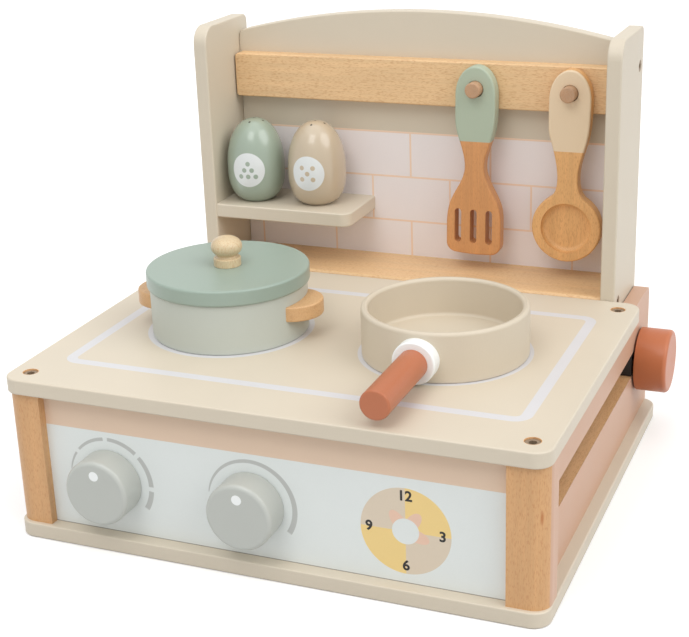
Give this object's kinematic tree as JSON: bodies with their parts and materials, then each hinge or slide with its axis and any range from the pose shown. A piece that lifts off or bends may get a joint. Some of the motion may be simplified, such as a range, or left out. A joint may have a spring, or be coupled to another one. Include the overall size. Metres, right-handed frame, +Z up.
{
  "type": "tabletop play kitchen",
  "caption": "Wooden toy stove on a shallow box, with turning knobs, pot and pan, and a fold-down back that carries a shelf, shakers, spatula and spoon.",
  "frame": {"origin": "centre of the base board's underside, where the toy rests on a table", "axes": "+X to the right as seen by the child in front, +Y to the back, +Z up"},
  "size_m": [0.4134, 0.3534, 0.319],
  "materials": {
    "warm_beige_paint": "satin painted plywood, warm beige",
    "front_print": "satin printed panel, grey-white under a peach band",
    "beech_post": "clear satin beech",
    "peach_paint": "satin painted plywood, pinkish peach",
    "tile_print": "satin printed panel, pale tiles with peach joints",
    "beech": "clear satin beech",
    "dowel_beech": "plain beech",
    "pale_green_paint": "satin painted wood, pale grey-green",
    "sage_paint": "satin painted wood, sage green",
    "pale_wood": "clear satin pale wood",
    "pan_paint": "satin painted wood, beige",
    "white_paint": "satin painted wood, white",
    "terracotta_paint": "satin painted wood, terracotta",
    "sage_and_beech": "beech with a sage painted handle",
    "cream_and_beech": "beech with a cream painted handle",
    "sage_gloss": "gloss lacquered wood, sage green",
    "cream_gloss": "gloss lacquered wood, beige",
    "knob_paint": "satin painted wood, light warm grey",
    "black_nylon": "black nylon",
    "insert_brass": "turned brass",
    "zinc_steel": "zinc-plated steel"
  },
  "bodies": {
    "stove_box": {"base_board": "warm_beige_paint", "top_board": "warm_beige_paint", "front_panel": "front_print", "left_front_post": "beech_post", "right_front_post": "beech_post", "left_side_panel": "peach_paint", "right_side_panel": "peach_paint", "cooktop_bolts": "zinc_steel", "cooktop_barrel_nuts": "zinc_steel", "base_screws": "zinc_steel", "front_panel_dowels": "dowel_beech", "side_panel_dowels": "dowel_beech", "left_slot_runner": "black_nylon", "right_slot_runner": "black_nylon"},
    "folding_back": {"left_wing": "warm_beige_paint", "right_wing": "warm_beige_paint", "back_board": "tile_print", "utensil_rail": "beech", "spatula_peg": "beech", "spoon_peg": "beech", "ledge": "beech", "shelf": "warm_beige_paint", "wing_screws": "zinc_steel", "wing_dowels": "dowel_beech", "rail_screws": "zinc_steel", "shelf_screws": "zinc_steel", "left_clamp_insert": "insert_brass", "right_clamp_insert": "insert_brass"},
    "left_clamp_press": {"left_clamp_washer": "zinc_steel"},
    "left_clamp_handle": {"left_clamp_knob": "terracotta_paint", "left_clamp_bolt": "zinc_steel"},
    "right_clamp_press": {"right_clamp_washer": "zinc_steel"},
    "right_clamp_handle": {"right_clamp_knob": "terracotta_paint", "right_clamp_bolt": "zinc_steel"},
    "left_burner_control": {"left_burner_knob": "knob_paint", "left_knob_axle": "zinc_steel", "left_knob_washer": "zinc_steel", "left_knob_nut": "zinc_steel"},
    "right_burner_control": {"right_burner_knob": "knob_paint", "right_knob_axle": "zinc_steel", "right_knob_washer": "zinc_steel", "right_knob_nut": "zinc_steel"},
    "pot": {"pot_body": "pale_green_paint", "left_pot_ear": "beech", "right_pot_ear": "beech", "pot_ear_dowels": "dowel_beech"},
    "lid": {"pot_lid": "sage_paint", "lid_knob": "pale_wood", "lid_knob_screw": "zinc_steel"},
    "pan": {"pan_body": "pan_paint", "pan_collar": "white_paint", "pan_handle": "terracotta_paint", "pan_handle_dowel": "dowel_beech"},
    "hanging_spatula": {"spatula": "sage_and_beech"},
    "hanging_spoon": {"spoon": "cream_and_beech"},
    "pepper": {"pepper_shaker": "sage_gloss"},
    "salt": {"salt_shaker": "cream_gloss"}
  },
  "joints": [
    {"name": "back_fold", "type": "hinge", "parent": "stove_box", "child": "folding_back", "pos_m": [0, 0.1335, 0.0606], "axis": [1, 0, 0], "range_deg": [-90, 0]},
    {"name": "left_clamp_travel", "type": "slide", "parent": "folding_back", "child": "left_clamp_press", "axis": [-1, 0, 0], "range_m": [0, 0.0021]},
    {"name": "left_clamp_turn", "type": "hinge", "parent": "left_clamp_press", "child": "left_clamp_handle", "pos_m": [-0.195, 0.1335, 0.0606], "axis": [-1, 0, 0], "range_deg": [0, 720]},
    {"name": "right_clamp_travel", "type": "slide", "parent": "folding_back", "child": "right_clamp_press", "axis": [1, 0, 0], "range_m": [0, 0.0021]},
    {"name": "right_clamp_turn", "type": "hinge", "parent": "right_clamp_press", "child": "right_clamp_handle", "pos_m": [0.195, 0.1335, 0.0606], "axis": [1, 0, 0], "range_deg": [0, 720]},
    {"name": "left_burner_turn", "type": "hinge", "parent": "stove_box", "child": "left_burner_control", "pos_m": [-0.1157, -0.16, 0.0488], "axis": [0, -1, 0], "continuous": true},
    {"name": "right_burner_turn", "type": "hinge", "parent": "stove_box", "child": "right_burner_control", "pos_m": [-0.0104, -0.16, 0.0488], "axis": [0, -1, 0], "continuous": true},
    {"name": "pot_lift", "type": "slide", "parent": "stove_box", "child": "pot", "axis": [0, 0, 1], "range_m": [0, 0.08]},
    {"name": "lid_lift", "type": "slide", "parent": "pot", "child": "lid", "axis": [0, 0, 1], "range_m": [0, 0.06]},
    {"name": "pan_lift", "type": "slide", "parent": "stove_box", "child": "pan", "axis": [0, 0, 1], "range_m": [0, 0.08]},
    {"name": "spatula_unhook", "type": "slide", "parent": "folding_back", "child": "hanging_spatula", "axis": [0, -1, 0], "range_m": [0, 0.035]},
    {"name": "spoon_unhook", "type": "slide", "parent": "folding_back", "child": "hanging_spoon", "axis": [0, -1, 0], "range_m": [0, 0.035]},
    {"name": "pepper_lift", "type": "slide", "parent": "folding_back", "child": "pepper", "axis": [0, -0.8, 0.6], "range_m": [0, 0.05]},
    {"name": "salt_lift", "type": "slide", "parent": "folding_back", "child": "salt", "axis": [0, -0.8, 0.6], "range_m": [0, 0.05]}
  ],
  "couplings": [
    {"joint": "left_clamp_travel", "follows": "left_clamp_turn", "m_per_rad": 0.00015915},
    {"joint": "right_clamp_travel", "follows": "right_clamp_turn", "m_per_rad": 0.00015915}
  ]
}
